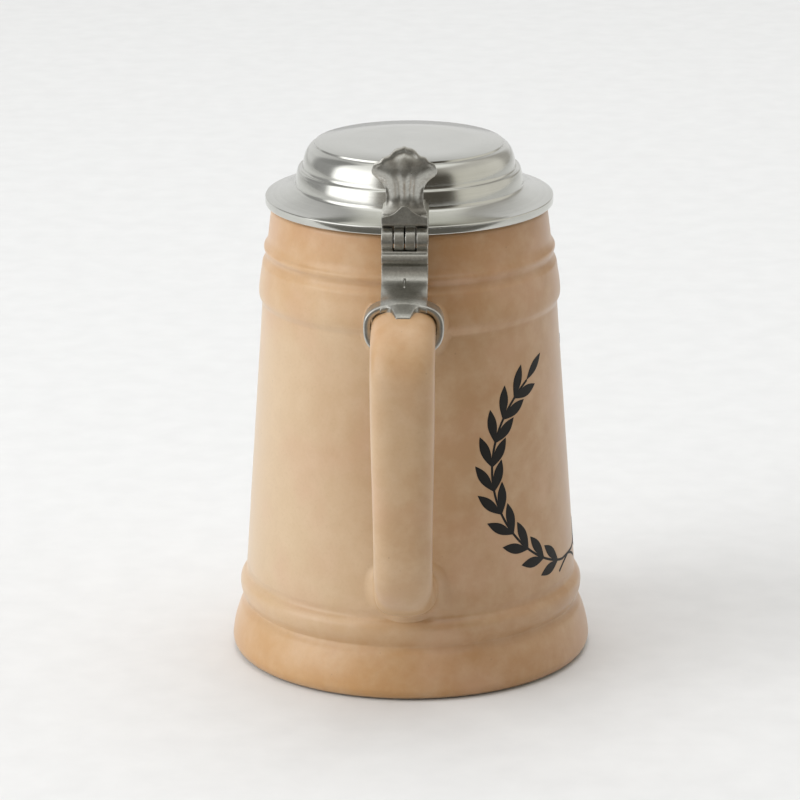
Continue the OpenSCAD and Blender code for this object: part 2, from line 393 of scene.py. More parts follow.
def glazed_stoneware():
    """Buff stoneware under a satin salt-type glaze, kiln-fired: a soft sheen, a warmer flash at the neck
    and foot, painted shade as a darker, warmer tint on the +X side, away from the key light, pale cloudy
    mottling and faint iron specks."""
    material, tree = new_material("satin_glazed_stoneware")
    place = add(tree, "ShaderNodeTexCoord").outputs["Object"]
    height = add(tree, "ShaderNodeSeparateXYZ", {0: place}).outputs["Z"]
    cloud = add(tree, "ShaderNodeTexNoise",
                {"Vector": place, "Scale": per_metre(38), "Detail": 3, "Roughness": 0.55})
    wander = add(tree, "ShaderNodeMapRange", {0: cloud, 1: 0.3, 2: 0.7, 3: -0.05, 4: 0.05})
    level = add(tree, "ShaderNodeMath", {0: height, 1: mug_h * MM}, operation="DIVIDE")
    share = add(tree, "ShaderNodeMath", {0: level, 1: wander}, operation="ADD")
    fired = add(tree, "ShaderNodeValToRGB", {0: share},
                stops=[(0, "#C1945F"), (0.06, "#C49B6C"), (0.13, "#C7A67F"), (0.22, "#CAAF8C"),
                       (0.5, "#CBB08E"), (0.74, "#CBAF8C"), (0.86, "#C8A47A"), (1, "#C4986A")])
    # Painted shade: the +X side, which faces away from the key light, is tinted darker and warmer.
    aside = add(tree, "ShaderNodeSeparateXYZ", {0: place}).outputs["X"]
    drift = add(tree, "ShaderNodeMath", {0: wander, 1: 0.25, 2: aside}, operation="MULTIPLY_ADD")
    shade_side_mask = add(tree, "ShaderNodeMapRange", {0: drift, 1: -0.036, 2: 0.024, 3: 0, 4: 0.75})
    shade_side_colour = add(tree, "ShaderNodeMix", {0: shade_side_mask, 6: fired, 7: linear("#A97B4B")}, data_type="RGBA")
    mottle = add(tree, "ShaderNodeTexNoise",
                 {"Vector": place, "Scale": per_metre(7), "Detail": 5, "Roughness": 0.6})
    pale = add(tree, "ShaderNodeMapRange", {0: mottle, 1: 0.4, 2: 0.75, 3: 0, 4: 0.25})
    mottled = add(tree, "ShaderNodeMix", {0: pale, 6: shade_side_colour, 7: linear("#DCC6A8")}, data_type="RGBA")
    patch = add(tree, "ShaderNodeTexNoise",
                {"Vector": place, "Scale": per_metre(19), "Detail": 2, "Roughness": 0.5})
    flushed = add(tree, "ShaderNodeMapRange", {0: patch, 1: 0.5, 2: 0.72, 3: 0, 4: 0.3})
    flush = add(tree, "ShaderNodeMix", {0: flushed, 6: mottled, 7: linear("#CFA98D")}, data_type="RGBA")
    grain = add(tree, "ShaderNodeTexNoise",
                {"Vector": place, "Scale": per_metre(0.9), "Detail": 3, "Roughness": 0.6})
    grit = add(tree, "ShaderNodeMapRange", {0: grain, 1: 0.5, 2: 0.8, 3: 0, 4: 0.18})
    grained = add(tree, "ShaderNodeMix", {0: grit, 6: flush, 7: linear("#A98A66")}, data_type="RGBA")
    cells = add(tree, "ShaderNodeTexVoronoi", {"Vector": place, "Scale": per_metre(3.6)})
    near = add(tree, "ShaderNodeMapRange", {0: cells.outputs["Distance"], 1: 0.04, 2: 0.09, 3: 1, 4: 0})
    draw = add(tree, "ShaderNodeSeparateColor", {0: cells.outputs["Color"]})
    chosen = add(tree, "ShaderNodeMapRange", {0: draw, 1: 0.7, 2: 1, 3: 0, 4: 0.35})
    speck = add(tree, "ShaderNodeMath", {0: near, 1: chosen}, operation="MULTIPLY")
    specked = add(tree, "ShaderNodeMix", {0: speck, 6: grained, 7: linear("#6E5638")}, data_type="RGBA")
    bare = add(tree, "ShaderNodeMapRange", {0: height, 1: 0.0013, 2: 0.0005, 3: 0, 4: 1})
    colour = add(tree, "ShaderNodeMix", {0: bare, 6: specked, 7: linear("#A98D6B")}, data_type="RGBA")
    sheen = add(tree, "ShaderNodeMapRange", {0: mottle, 1: 0.3, 2: 0.7, 3: 0.32, 4: 0.42})
    matt = add(tree, "ShaderNodeMath", {0: bare, 1: 0.85}, operation="MULTIPLY")
    rough = add(tree, "ShaderNodeMath", {0: sheen, 1: matt}, operation="MAXIMUM")
    peel = add(tree, "ShaderNodeTexNoise",
               {"Vector": place, "Scale": per_metre(1.6), "Detail": 2, "Roughness": 0.5})
    drawn_out = add(tree, "ShaderNodeMapping", {"Vector": place, "Scale": (0.25, 0.25, 1)})
    throwing = add(tree, "ShaderNodeTexNoise", {"Vector": drawn_out, "Scale": per_metre(5), "Detail": 1})
    rings = add(tree, "ShaderNodeBump", {"Height": throwing, "Distance": 0.25 * MM, "Strength": 0.35})
    bump = add(tree, "ShaderNodeBump",
               {"Height": peel, "Distance": 0.05 * MM, "Strength": 0.3, "Normal": rings})
    shader = add(tree, "ShaderNodeBsdfPrincipled",
                 {"Base Color": colour, "Roughness": rough, "IOR": 1.5, "Normal": bump,
                  "Coat Weight": 0.45, "Coat Roughness": 0.28, "Coat IOR": 1.5})
    return surface(material, tree, shader)


def turned_pewter():
    """Pewter spun and turned on a lathe, then satin brushed: bright grey, with very fine rings round
    the axis that spread each highlight across them."""
    material, tree = new_material("turned_brushed_pewter")
    place = add(tree, "ShaderNodeTexCoord").outputs["Object"]
    split = add(tree, "ShaderNodeSeparateXYZ", {0: place})
    flat = add(tree, "ShaderNodeCombineXYZ", {0: split.outputs[0], 1: split.outputs[1], 2: 0.0})
    radius = add(tree, "ShaderNodeVectorMath", {0: flat}, operation="LENGTH").outputs["Value"]
    rise = add(tree, "ShaderNodeMath", {0: split.outputs[2], 1: 0.7}, operation="MULTIPLY")
    along = add(tree, "ShaderNodeMath", {0: radius, 1: rise}, operation="ADD")
    rings = add(tree, "ShaderNodeTexNoise",
                {"W": along, "Scale": per_metre(0.5), "Detail": 4, "Roughness": 0.7},
                noise_dimensions="1D")
    cloud = add(tree, "ShaderNodeTexNoise",
                {"Vector": place, "Scale": per_metre(13), "Detail": 4, "Roughness": 0.6})
    ring_share = add(tree, "ShaderNodeMath", {0: rings, 1: 0.4}, operation="MULTIPLY")
    tone = add(tree, "ShaderNodeMath", {0: cloud, 1: 0.6, 2: ring_share}, operation="MULTIPLY_ADD")
    colour = add(tree, "ShaderNodeValToRGB", {0: tone},
                 stops=[(0.3, "#C3C3BD"), (0.5, "#CBCBC5"), (0.7, "#D2D2CC")])
    rough = add(tree, "ShaderNodeMapRange", {0: cloud, 1: 0.3, 2: 0.7, 3: 0.13, 4: 0.19})
    bump = add(tree, "ShaderNodeBump", {"Height": rings, "Distance": 0.004 * MM, "Strength": 0.25})
    tangent = add(tree, "ShaderNodeTangent", direction_type="RADIAL", axis="Z")
    shader = add(tree, "ShaderNodeBsdfPrincipled",
                 {"Base Color": colour, "Metallic": 1.0, "Roughness": rough, "Anisotropic": 0.4,
                  "Tangent": tangent, "Normal": bump})
    return surface(material, tree, shader)


def cast_pewter():
    """Pewter cast in a mould and fettled: a fine sandy grain, dark oxide left in the hollows, and
    edges polished bright by hands."""
    material, tree = new_material("cast_fettled_pewter")
    place = add(tree, "ShaderNodeTexCoord").outputs["Object"]
    grain = add(tree, "ShaderNodeTexNoise",
                {"Vector": place, "Scale": per_metre(0.7), "Detail": 4, "Roughness": 0.65})
    cloud = add(tree, "ShaderNodeTexNoise",
                {"Vector": place, "Scale": per_metre(4), "Detail": 3, "Roughness": 0.6})
    edge = add(tree, "ShaderNodeNewGeometry").outputs["Pointiness"]
    hollow = add(tree, "ShaderNodeMapRange", {0: edge, 1: 0.49, 2: 0.44, 3: 0, 4: 0.75})
    worn = add(tree, "ShaderNodeMapRange", {0: edge, 1: 0.52, 2: 0.58, 3: 0, 4: 0.8})
    base = add(tree, "ShaderNodeValToRGB", {0: grain},
               stops=[(0.3, "#A8A6A0"), (0.5, "#B6B5AE"), (0.72, "#C3C2BB")])
    oxide = add(tree, "ShaderNodeMix", {0: hollow, 6: base, 7: linear("#4A4840")}, data_type="RGBA")
    colour = add(tree, "ShaderNodeMix", {0: worn, 6: oxide, 7: linear("#DDDDD8")}, data_type="RGBA")
    satin = add(tree, "ShaderNodeMapRange", {0: cloud, 1: 0.3, 2: 0.7, 3: 0.3, 4: 0.4})
    polish = add(tree, "ShaderNodeMath", {0: worn, 1: 0.12}, operation="MULTIPLY")
    rough = add(tree, "ShaderNodeMath", {0: satin, 1: polish}, operation="SUBTRACT")
    bump = add(tree, "ShaderNodeBump", {"Height": grain, "Distance": 0.02 * MM, "Strength": 0.4})
    shader = add(tree, "ShaderNodeBsdfPrincipled",
                 {"Base Color": colour, "Metallic": 1.0, "Roughness": rough, "Normal": bump})
    return surface(material, tree, shader)


def drawn_steel():
    """Drawn steel pin stock: a harder, darker grey with fine draw lines along it."""
    material, tree = new_material("drawn_steel_pin")
    place = add(tree, "ShaderNodeTexCoord").outputs["Object"]
    stretched = add(tree, "ShaderNodeMapping", {"Vector": place, "Scale": (0.05, 1, 1)})
    lines = add(tree, "ShaderNodeTexNoise",
                {"Vector": stretched, "Scale": per_metre(0.15), "Detail": 3, "Roughness": 0.6})
    colour = add(tree, "ShaderNodeValToRGB", {0: lines}, stops=[(0.35, "#83827E"), (0.65, "#9C9B97")])
    rough = add(tree, "ShaderNodeMapRange", {0: lines, 1: 0.3, 2: 0.7, 3: 0.25, 4: 0.38})
    bump = add(tree, "ShaderNodeBump", {"Height": lines, "Distance": 0.01 * MM, "Strength": 0.4})
    shader = add(tree, "ShaderNodeBsdfPrincipled",
                 {"Base Color": colour, "Metallic": 1.0, "Roughness": rough, "Normal": bump})
    return surface(material, tree, shader)


def ceramic_print():
    """Black ceramic ink screen-printed and fired on the glaze: a thin, slightly uneven satin film."""
    material, tree = new_material("black_fired_print")
    place = add(tree, "ShaderNodeTexCoord").outputs["Object"]
    film = add(tree, "ShaderNodeTexNoise",
               {"Vector": place, "Scale": per_metre(1.1), "Detail": 4, "Roughness": 0.65})
    colour = add(tree, "ShaderNodeValToRGB", {0: film},
                 stops=[(0.35, "#0F0D0B"), (0.6, "#15120E"), (0.8, "#1E1A14")])
    rough = add(tree, "ShaderNodeMapRange", {0: film, 1: 0.3, 2: 0.7, 3: 0.45, 4: 0.58})
    bump = add(tree, "ShaderNodeBump", {"Height": film, "Distance": 0.02 * MM, "Strength": 0.3})
    shader = add(tree, "ShaderNodeBsdfPrincipled",
                 {"Base Color": colour, "Roughness": rough, "IOR": 1.5, "Specular IOR Level": 0.28,
                  "Normal": bump})
    return surface(material, tree, shader)


def studio_paper():
    """White seamless paper under the object: matt, with a barely visible fibre."""
    material, tree = new_material("white_seamless_paper")
    place = add(tree, "ShaderNodeTexCoord").outputs["Object"]
    fibre = add(tree, "ShaderNodeTexNoise",
                {"Vector": place, "Scale": per_metre(12), "Detail": 3, "Roughness": 0.5})
    colour = add(tree, "ShaderNodeValToRGB", {0: fibre}, stops=[(0.3, "#DFE0E1"), (0.7, "#E3E4E5")])
    shader = add(tree, "ShaderNodeBsdfPrincipled", {"Base Color": colour, "Roughness": 0.9})
    return surface(material, tree, shader)


STONEWARE = glazed_stoneware()
TURNED_PEWTER = turned_pewter()
CAST_PEWTER = cast_pewter()
STEEL = drawn_steel()
PRINT = ceramic_print()


# ---------------------------------------------------------------- pottery

def mug():
    """The thrown mug: flared foot, beaded base, tapering wall, two upper bands and a rounded lip."""
    lip_r = wall_high_r - 3.05
    lip = cubic((lip_r, mug_h - 1.6), (lip_r - 0.1, mug_h - 0.5), (lip_r - 0.8, mug_h),
                (lip_r - 1.8, mug_h), 6)
    lip += cubic((mouth_r + 1.6, mug_h), (mouth_r + 0.6, mug_h), (mouth_r, mug_h - 0.8),
                 (mouth_r, mug_h - 2.4), 6)
    inside = cubic((mouth_r, mug_h - 2.4), (mouth_r + 2.4, mug_h - 40), (bowl_r, 60),
                   (bowl_r, floor_z + 7), 16)
    inside += arc((bowl_r - 7, floor_z + 7), 7, 0, -90, 10) + [Vector((0, floor_z))]
    ring_w = 4.2
    under = [Vector((0, 2.6)), Vector((foot_r - 6 - ring_w, 2.6)), Vector((foot_r - 5.2 - ring_w, 2.2)),
             Vector((foot_r - 4.4 - ring_w, 0.6)), Vector((foot_r - 3.4 - ring_w, 0))]
    piece = turned("stoneware_mug", under + mug_outside() + lip + inside, lathe_steps)
    return finish(piece, STONEWARE, "mug", ["stoneware_body"])


def handle_path():
    """Centre line of the handle as (d, z), from its upper root to its lower root."""
    back_top = collar_z - 13
    line = cubic((root_high_d, collar_z - 3.3), (49, collar_z - 1.4), (51, collar_z), (54, collar_z), 5)
    line += cubic((54, collar_z), (57, collar_z), (60, collar_z), (65, collar_z), 4)
    line += cubic((65, collar_z), (back_axis - 5.4, collar_z - 0.5), (back_axis, collar_z - 4.6),
                  (back_axis, back_top), 14)
    line += cubic((back_axis, back_top), (back_axis, back_top - 17), (back_axis, back_low_z + 17),
                  (back_axis, back_low_z), 12)
    line += cubic((back_axis, back_low_z), (back_axis, 42), (68, 35.4), (root_low_d, 34.1), 16)
    return line + [Vector((root_low_d, 34.1))]


def handle_size(p):
    """Half-width and half-thickness of the handle at a point of its centre line."""
    d, z = p
    if z > collar_z - 13.1:
        wide = ease(20, 18.3, (d - 45) / 9)
        thick = ease(12.5, 10.9, (d - 45) / 9)
    else:
        wide = ease(18.3, 16.7, (collar_z - 13 - z) / 55)
        thick = 11.2
        if z < back_low_z:
            wide += ease(1.6, 0, (d - 52) / 12)
            thick += ease(1.6, 0, (d - 52) / 14)
    return wide / 2, thick / 2


def squared_oval(verts, wide, thick, power=2.5):
    """Shapes a circle of radius 1 in the XZ plane into the handle's squared-off oval."""
    for v in verts:
        v.co.x = wide * MM * abs(v.co.x) ** (2 / power) * (1 if v.co.x > 0 else -1)
        v.co.z = thick * MM * abs(v.co.z) ** (2 / power) * (1 if v.co.z > 0 else -1)


def selected(piece):
    mesh = bmesh.from_edit_mesh(piece.data)
    return mesh, [v for v in mesh.verts if v.select]


def root_flare(piece, towards, fillet):
    """Carries the selected end loop on to the mug's wall, spreads it there and rounds the corner."""
    extrude((0, 0, 0))
    bmesh.from_edit_mesh(piece.data).verts.layers.int.new("root")
    mesh, loop = selected(piece)
    mark = mesh.verts.layers.int.get("root")
    for v in loop:
        ray = Vector(towards)
        for _ in range(12):
            gap = sqrt(v.co.x ** 2 + v.co.y ** 2) - wall_radius(v.co.z / MM) * MM
            v.co += ray * gap
        v[mark] = 1
    bmesh.update_edit_mesh(piece.data)
    extrude((0, 0, 0))
    mesh, loop = selected(piece)
    mark = mesh.verts.layers.int.get("root")
    middle = sum((v.co for v in loop), Vector()) / len(loop)
    for v in loop:
        away = v.co - middle
        away.y = 0
        v.co = on_wall(v.co + away.normalized() * (fillet + 0.5) * MM, -0.02)
        v[mark] = 0
    bmesh.update_edit_mesh(piece.data)
    extrude((0, 0, 0))
    mesh, loop = selected(piece)
    for v in loop:
        v.co = on_wall(v.co, -1.5)
    bmesh.update_edit_mesh(piece.data)
    bpy.ops.mesh.edge_face_add()
    bpy.ops.mesh.select_all(action="DESELECT")
    mesh = bmesh.from_edit_mesh(piece.data)
    mark = mesh.verts.layers.int.get("root")
    for e in mesh.edges:
        if all(v[mark] == 1 for v in e.verts):
            e.select_set(True)
    bmesh.update_edit_mesh(piece.data)
    bpy.ops.mesh.bevel(offset=fillet * MM, segments=7, profile=0.5, clamp_overlap=False)
    mesh = bmesh.from_edit_mesh(piece.data)
    mesh.verts.layers.int.remove(mesh.verts.layers.int.get("root"))
    bmesh.update_edit_mesh(piece.data)


def handle():
    """The pulled handle: swept from root to root, with slip-smoothed fillets on the wall."""
    path = handle_path()
    deselect()
    bpy.ops.mesh.primitive_circle_add(vertices=64, radius=1, rotation=(pi / 2, 0, 0))
    piece = bpy.context.object
    piece.name = "stoneware_handle"
    piece.data.name = "stoneware_handle"
    bpy.ops.object.transform_apply(location=True, rotation=True, scale=True)
    bpy.ops.object.mode_set(mode="EDIT")
    bpy.ops.mesh.select_all(action="SELECT")
    mesh, loop = selected(piece)
    wide, thick = handle_size(path[0])
    squared_oval(loop, wide, thick)
    bmesh.update_edit_mesh(piece.data)

    def heading(i):
        step = path[min(i + 1, len(path) - 1)] - path[max(i - 1, 0)]
        return Vector((0, -step[0], step[1])).normalized()

    def turn(old, new, centre):
        """Turns the loop's plane from one heading to the next, about X."""
        angle = old.angle(new)
        if angle > 1e-6:
            way = 1 if old.cross(new).x > 0 else -1
            bpy.ops.transform.rotate(value=-way * angle, orient_axis="X", center_override=centre)

    centre = Vector((0, -path[0][0], path[0][1])) * MM
    bpy.ops.transform.translate(value=centre)
    turn(-Y, heading(0), centre)
    for i in range(1, len(path)):
        new = Vector((0, -path[i][0], path[i][1])) * MM
        extrude(new - centre)
        centre = new
        turn(heading(i - 1), heading(i), centre)
        w, t = handle_size(path[i])
        bpy.ops.transform.resize(value=(w / wide, t / thick, t / thick), center_override=centre)
        wide, thick = w, t
    root_flare(piece, heading(len(path) - 1), fillet=3.6)
    bpy.ops.mesh.select_all(action="DESELECT")
    mesh = bmesh.from_edit_mesh(piece.data)
    for e in mesh.edges:
        if e.is_boundary:
            e.select_set(True)
    bmesh.update_edit_mesh(piece.data)
    root_flare(piece, -heading(0), fillet=3.2)
    tidy_shell()
    done(piece)
    modify(piece, "SUBSURF", levels=1, render_levels=1)
    return finish(piece, STONEWARE, "mug", ["handle"], angle=60)


# ---------------------------------------------------------------- laurel print

def wreath_point(turn_deg, side):
    """A point of the stem on the flat wreath, as (across, up); 0 is the bottom."""
    a = radians(turn_deg)
    return Vector((side * wreath_half_w * sin(a), wreath_z - wreath_half_h * cos(a)))


def leaf(base, heading, length, width):
    """One pointed leaf lying flat: x is across the wall and y is up."""
    deselect()
    bpy.ops.mesh.primitive_grid_add(x_subdivisions=6, y_subdivisions=16, size=1)
    piece = bpy.context.object
    bpy.ops.object.mode_set(mode="EDIT")
    mesh = bmesh.from_edit_mesh(piece.data)
    along = Vector((sin(heading), cos(heading)))
    aside = Vector((cos(heading), -sin(heading)))
    for v in mesh.verts:
        t = v.co.y + 0.5
        half = width * (sin(pi * t ** 1.08) ** 0.95 if 0 < t < 1 else 0) + 0.05
        p = base + along * (0.5 + (length - 0.5) * t) + aside * (v.co.x * half)
        v.co = Vector((p[0], p[1], 0)) * MM
    bmesh.update_edit_mesh(piece.data)
    return done(piece)


def stem(points, width):
    """A thin printed line through points on the flat wreath."""
    piece = draw_line("stem", [Vector((p[0], p[1], 0)) * MM for p in points])
    mesh = bmesh.from_edit_mesh(piece.data)
    mesh.verts.ensure_lookup_table()
    normals = []
    for i in range(len(points)):
        step = points[min(i + 1, len(points) - 1)] - points[max(i - 1, 0)]
        normals.append(Vector((step[1], -step[0])).normalized())
    half = width / 2 * MM
    starts = {i: v.co.copy() for i, v in enumerate(mesh.verts)}
    for i, v in enumerate(mesh.verts):
        v.co -= Vector((*normals[i], 0)) * half
    bmesh.update_edit_mesh(piece.data)
    bpy.ops.mesh.select_all(action="SELECT")
    extrude((0, 0, 0))
    mesh, row = selected(piece)
    for i, v in enumerate(row):
        v.co = starts[i] + Vector((*normals[i], 0)) * half
    bmesh.update_edit_mesh(piece.data)
    return done(piece)


def laurel():
    """Two laurel sprays that cross below, drawn flat, wrapped on the wall and given a film's height."""
    parts = []
    for side in (-1, 1):
        bottom = [Vector((-side * 8.2, wreath_z - wreath_half_h - 2.8)),
                  Vector((-side * 5, wreath_z - wreath_half_h - 1.1)),
                  Vector((0, wreath_z - wreath_half_h + 0.5))]
        line = bottom + [wreath_point(a, side) for a in range(9, 148, 6)]
        parts.append(stem(smooth_line(line, 2), 0.75))
        for i in range(leaf_pairs):
            a = 14 + 14.1 * i - 0.083 * i * i     # the pairs crowd a little towards the tip
            base = wreath_point(a, side)
            tangent = wreath_point(a + 1, side) - wreath_point(a - 1, side)
            heading = Vector((0, 1)).angle_signed(tangent)
            for lean, length in ((-28, 10.1), (24, 10.4)):
                parts.append(leaf(base, heading + side * radians(lean), length, 3.1))
        tip = wreath_point(146, side)
        tangent = wreath_point(148, side) - wreath_point(144, side)
        parts.append(leaf(tip, Vector((0, 1)).angle_signed(tangent) + side * radians(8), 10.6, 2.7))
    piece = join("laurel_print", *parts)
    for v in piece.data.vertices:
        across, up = v.co.x, v.co.y
        angle = radians(wreath_angle) + across / (wall_radius(up / MM) * MM)
        r = (wall_radius(up / MM) + 0.03) * MM
        v.co = Vector((r * sin(angle), -r * cos(angle), up))
    edit(piece)
    bpy.ops.mesh.select_all(action="SELECT")
    bpy.ops.mesh.normals_make_consistent(inside=False)
    done(piece)
    modify(piece, "SOLIDIFY", thickness=0.06 * MM, offset=0)
    return finish(piece, PRINT, "mug", [], angle=50)


# ---------------------------------------------------------------- lid

def lid():
    """The spun lid: flat rim, coved flange, rolled ring, cove, domed shoulder and a raised disc."""
    outside = arc((lid_r - 0.35, 0.35), 0.35, -90, 0, 4)
    outside += [Vector((lid_r, 1.2))] + arc((lid_r - 0.35, 2.1), 0.35, 0, 90, 4)
    outside += cubic((lid_r - 0.9, 2.5), (lid_r - 3.6, 2.9), (step_r + 2.4, 4), (step_r + 0.6, 5), 12)
    outside += cubic((step_r + 0.6, 5), (step_r + 0.3, 5.2), (step_r + 0.15, 5.4),
                     (step_r + 0.05, 5.8), 4)
    outside += cubic((step_r + 0.05, 5.8), (step_r - 0.1, 7.4), (step_r - 0.35, 8.9),
                     (step_r - 0.75, 10), 10)
    outside += cubic((step_r - 0.7, 10), (step_r - 0.85, 10.5), (step_r - 1.05, 10.66),
                     (step_r - 1.35, 10.6), 6)
    outside += cubic((step_r - 1.4, 10.56), (dome_r + 0.6, 10.35), (dome_r + 0.35, 10.5),
                     (dome_r + 0.2, 11.4), 8)
    outside += cubic((dome_r + 0.2, 11.5), (dome_r - 0.1, 14.2), (disc_r + 2.2, 16.6),
                     (disc_r + 0.7, lid_h - 0.78), 24)
    outside += [Vector((disc_r + 0.42, lid_h - 0.72)), Vector((disc_r + 0.14, lid_h - 0.6)),
                Vector((disc_r - 0.02, lid_h - 0.08)), Vector((disc_r - 0.2, lid_h)),
                Vector((disc_r * 0.66, lid_h + 0.09)), Vector((disc_r * 0.33, lid_h + 0.17)),
                Vector((0, lid_h + 0.2))]
    lip_r = mouth_r - 1
    inside = [Vector((0, lid_h - lid_t)), Vector((disc_r * 0.5, lid_h - lid_t - 0.1))]
    inside += cubic((disc_r - 1, lid_h - lid_t - 0.4), (dome_r - lid_t - 0.3, lid_h - lid_t - 0.7),
                    (dome_r - lid_t, 13.5), (dome_r - lid_t, 11.4), 12)
    inside += smooth_line([(dome_r - lid_t, 11.4), (dome_r - lid_t + 0.2, 10), (step_r - lid_t - 0.4, 7.8),
                           (step_r - lid_t - 0.2, 4), (lip_r - 1.5, -2.4)], 5)
    inside += arc((lip_r - 0.85, -lid_lip + 0.45), 0.45, 200, 340, 6)
    inside += [Vector((lip_r, -2)), Vector((lip_r, 0))]
    outline = [Vector((r, z + lid_z)) for r, z in outside + inside]
    outline.append(outline[0])
    piece = turned("pewter_lid", outline, lathe_steps)
    return finish(piece, TURNED_PEWTER, "lid", ["lid_cover"], angle=28)


# ---------------------------------------------------------------- collar and strap

def collar():
    """The ring cast round the handle: a squared oval with rounded rims and a slightly full outside."""
    deselect()
    bpy.ops.mesh.primitive_circle_add(vertices=96, radius=1, rotation=(pi / 2, 0, 0))
    piece = bpy.context.object
    piece.name = "pewter_collar"
    piece.data.name = "pewter_collar"
    bpy.ops.object.transform_apply(location=True, rotation=True, scale=True)
    bpy.ops.object.mode_set(mode="EDIT")
    bpy.ops.mesh.select_all(action="SELECT")
    outer_up, outer_down, inner_w, inner_h = 7.3, 8.45, 9.3, 5.6
    mesh, loop = selected(piece)
    for v in loop:
        height = outer_up * v.co.z ** 0.7 if v.co.z > 0 else -outer_down * abs(v.co.z) ** 0.8
        v.co = Vector((collar_w * abs(v.co.x) ** 0.8 * (1 if v.co.x > 0 else -1), 0, height)) * MM
    bmesh.update_edit_mesh(piece.data)
    bpy.ops.transform.translate(value=Vector((0, -collar_front - 0.35, collar_z)) * MM)
    middle = (outer_up - outer_down) / 2
    tall = (outer_up + outer_down) / 2
    rim = 0.35
    profile = [(collar_front + 1.2, collar_w + 0.05, 0), (collar_front + 3.7, collar_w + 0.1, 0),
               (collar_back - 0.9, collar_w + 0.05, 0), (collar_back - 0.4, collar_w - 0.02, 0),
               (collar_back - 0.12, collar_w - 0.2, 0), (collar_back, collar_w - 0.45, 0),
               (collar_back - 0.05, inner_w + 0.35, 1), (collar_back - rim, inner_w, 1),
               (collar_front + rim, inner_w, 1), (collar_front, inner_w + rim, 1),
               (collar_front, collar_w - rim, 0), (collar_front + rim, collar_w, 0)]
    at_d, at_w, at_h, at_mid = collar_front + 0.35, collar_w, tall, middle
    for d, w, inner in profile:
        h = (w - inner_w + inner_h) if inner else (w - collar_w + tall)
        mid = 0 if inner else middle
        extrude(Vector((0, at_d - d, mid - at_mid)) * MM)
        centre = Vector((0, -d, collar_z + mid)) * MM
        bpy.ops.transform.resize(value=(w / at_w, 1, h / at_h), center_override=centre)
        at_d, at_w, at_h, at_mid = d, w, h, mid
    tidy_shell()
    done(piece)
    return finish(piece, CAST_PEWTER, "mug", ["handle_collar"], angle=60)


def strap():
    """The strap that rises from the collar to the outer knuckles: a roll under the knuckles, a hollow
    blade with a fine mould seam, a crowned saddle over the collar and a keystone tang."""
    side = [(pin_d + 2.2, pin_z - 2.2)]
    side += smooth_line([(pin_d + 2.7, pin_z - 3.3), (pin_d + 3.5, pin_z - 3.9), (pin_d + 3.9, pin_z - 5),
                         (pin_d + 3.6, pin_z - 6.2), (pin_d + 2.7, pin_z - 6.8)], 6)
    side += smooth_line([(pin_d + 2.3, pin_z - 7.3), (pin_d + 2.6, pin_z - 9), (pin_d + 4.4, pin_z - 11.2),
                         (pin_d + 8, pin_z - 12.6), (collar_front + 2, strap_top + 0.15),
                         (collar_back - 2.6, strap_top - 0.3), (collar_back - 0.4, strap_top - 1.1),
                         (collar_back + 0.2, strap_top - 1.7), (collar_back + 0.2, strap_top - 2.8)], 5)
    side += [Vector((collar_front, strap_top - 2.8))]
    side += smooth_line([(collar_front, collar_z + 5.6), (pin_d + 5.6, collar_z + 6.9),
                         (pin_d + 1, pin_z - 11.4), (pin_d - 1.4, pin_z - 8), (pin_d - 2.2, pin_z - 4)], 5)
    side += [Vector((pin_d - 2.6, pin_z - 2))]
    blade = plate("blade", side, -hinge_w / 2, hinge_w / 2)
    seam_side = [(pin_d + 3.2, pin_z - 11.2), (pin_d + 4, pin_z - 10.45), (pin_d + 5.3, pin_z - 11.35),
                 (pin_d + 7, pin_z - 12.1), (pin_d + 7, pin_z - 13)]
    seam = plate("seam", seam_side, -0.17, 0.17)
    tang_side = smooth_line([(collar_back - 5, strap_top - 0.05), (collar_back - 2.6, strap_top - 0.4),
                             (collar_back - 0.4, strap_top - 1.15), (collar_back + 1.4, strap_top - 1.75),
                             (tang_d - 1.6, strap_top - 2.7), (tang_d - 0.3, strap_top - 3.3)], 4)
    tang_side += [(tang_d, strap_top - 3.6), (tang_d, strap_top - 4), (collar_back + 2, strap_top - 3.9),
                  (collar_back - 5, strap_top - 3.2)]
    tang = plate("tang", tang_side, -hinge_w / 2, hinge_w / 2)
    modify(tang, "REMESH", mode="VOXEL", voxel_size=0.2 * MM, adaptivity=0)
    narrowing = [(0, 1), (collar_back - 1.2, 1), (collar_back - 0.5, 0.93), (collar_back, 0.76),
                 (collar_back + 0.5, 0.6), (collar_back + 1.3, 0.51), (tang_d, 0.3)]
    for v in tang.data.vertices:
        v.co.x *= between(narrowing, -v.co.y / MM)
    knuckles = [rod("knuckle", knuckle_r, side * outer_edge if side > 0 else -hinge_w / 2,
                    hinge_w / 2 if side > 0 else -outer_edge) for side in (-1, 1)]
    piece = join("pewter_strap", blade, seam, tang, *knuckles)
    cast(piece, casting_voxel, rounds=4)
    crown = 1.1
    for v in piece.data.vertices:
        reach = ease(0, 1, (-v.co.y / MM - pin_d - 6) / 6)
        across = v.co.x / (hinge_w / 2 * MM)
        v.co.z -= crown * MM * reach * across ** 2
    cut(piece, rod("clearance", knuckle_r + swing_gap, -outer_edge, outer_edge),
        rod("bore", pin_r, -hinge_w, hinge_w),
        rod("seat_left", plug_r, -hinge_w, -hinge_w / 2 + seat_depth),
        rod("seat_right", plug_r, hinge_w / 2 - seat_depth, hinge_w))
    return finish(piece, CAST_PEWTER, "mug", ["hinge_strap"], angle=50)


def pin():
    """The steel hinge pin with its turned-down ends."""
    half = hinge_w / 2 - seat_depth
    piece = rod("steel_hinge_pin", pin_r, -half, half, 48)
    round_edges(piece, 0.15, 3)
    return finish(piece, STEEL, "mug", ["hinge_pin"])


